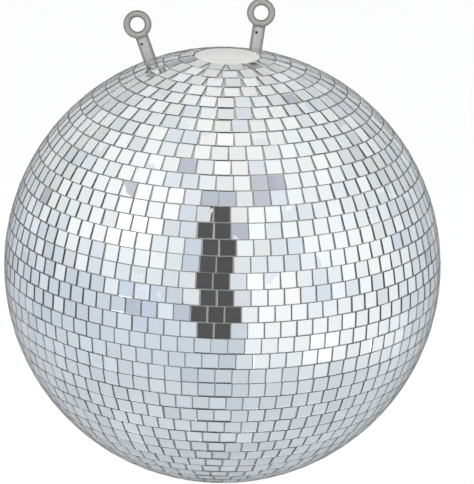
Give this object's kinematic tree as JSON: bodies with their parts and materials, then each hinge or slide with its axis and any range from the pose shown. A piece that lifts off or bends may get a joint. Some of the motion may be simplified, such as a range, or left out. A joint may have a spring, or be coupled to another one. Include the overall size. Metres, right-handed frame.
{
  "type": "mirror ball",
  "caption": "Hanging mirror ball: square mirror tiles in rows on a hollow sphere, hung from swivelling ring eyes on short steel sleeves.",
  "frame": {"origin": "centre of the ball", "axes": "+Z through the pole that the rows of tiles circle, front is -Y, +X to the right seen from the front"},
  "size_m": [0.6, 0.5999, 0.6592],
  "materials": {
    "mirror_tile": "silvered float glass with ground edges",
    "adhesive": "matt grey adhesive",
    "glass_fibre": "rough moulded",
    "sheet_steel": "grey primer",
    "rivet": "satin",
    "pole_disc": "satin",
    "sleeve_steel": "zinc plated, satin",
    "ring_steel": "galvanised, satin",
    "black_screw": "black oxide",
    "zinc_hardware": "zinc plated"
  },
  "bodies": {
    "ball": {"shell_upper": "glass_fibre", "shell_lower": "glass_fibre", "joint_band": "sheet_steel", "band_rivets": "rivet", "tile_bed_upper": "adhesive", "tile_bed_lower": "adhesive", "pole_disc_upper": "pole_disc", "pole_disc_lower": "pole_disc", "load_plate": "sheet_steel", "plate_screws": "zinc_hardware", "plate_nuts": "zinc_hardware", "sleeve_left": "sleeve_steel", "sleeve_right": "sleeve_steel", "lock_screws": "black_screw", "tile_row_upper_01": "mirror_tile", "tile_row_upper_02": "mirror_tile", "tile_row_upper_03": "mirror_tile", "tile_row_upper_04": "mirror_tile", "tile_row_upper_05": "mirror_tile", "tile_row_upper_06": "mirror_tile", "tile_row_upper_07": "mirror_tile", "tile_row_upper_08": "mirror_tile", "tile_row_upper_09": "mirror_tile", "tile_row_upper_10": "mirror_tile", "tile_row_upper_11": "mirror_tile", "tile_row_upper_12": "mirror_tile", "tile_row_upper_13": "mirror_tile", "tile_row_upper_14": "mirror_tile", "tile_row_upper_15": "mirror_tile", "tile_row_upper_16": "mirror_tile", "tile_row_upper_17": "mirror_tile", "tile_row_upper_18": "mirror_tile", "tile_row_upper_19": "mirror_tile", "tile_row_upper_20": "mirror_tile", "tile_row_lower_01": "mirror_tile", "tile_row_lower_02": "mirror_tile", "tile_row_lower_03": "mirror_tile", "tile_row_lower_04": "mirror_tile", "tile_row_lower_05": "mirror_tile", "tile_row_lower_06": "mirror_tile", "tile_row_lower_07": "mirror_tile", "tile_row_lower_08": "mirror_tile", "tile_row_lower_09": "mirror_tile", "tile_row_lower_10": "mirror_tile", "tile_row_lower_11": "mirror_tile", "tile_row_lower_12": "mirror_tile", "tile_row_lower_13": "mirror_tile", "tile_row_lower_14": "mirror_tile", "tile_row_lower_15": "mirror_tile", "tile_row_lower_16": "mirror_tile", "tile_row_lower_17": "mirror_tile", "tile_row_lower_18": "mirror_tile", "tile_row_lower_19": "mirror_tile", "tile_row_lower_20": "mirror_tile"},
    "eye_left": {"ring_eye_left": "ring_steel", "eye_washer_left": "zinc_hardware", "eye_nut_left": "zinc_hardware"},
    "eye_right": {"ring_eye_right": "ring_steel", "eye_washer_right": "zinc_hardware", "eye_nut_right": "zinc_hardware"}
  },
  "joints": [
    {"name": "eye_left_swivel", "type": "hinge", "parent": "ball", "child": "eye_left", "pos_m": [-0.12332, 0.05646, 0.32265], "axis": [-0.3523, 0.1613, 0.9219], "continuous": true},
    {"name": "eye_right_swivel", "type": "hinge", "parent": "ball", "child": "eye_right", "pos_m": [0.04446, 0.0628, 0.34144], "axis": [0.127, 0.1794, 0.9755], "continuous": true}
  ]
}
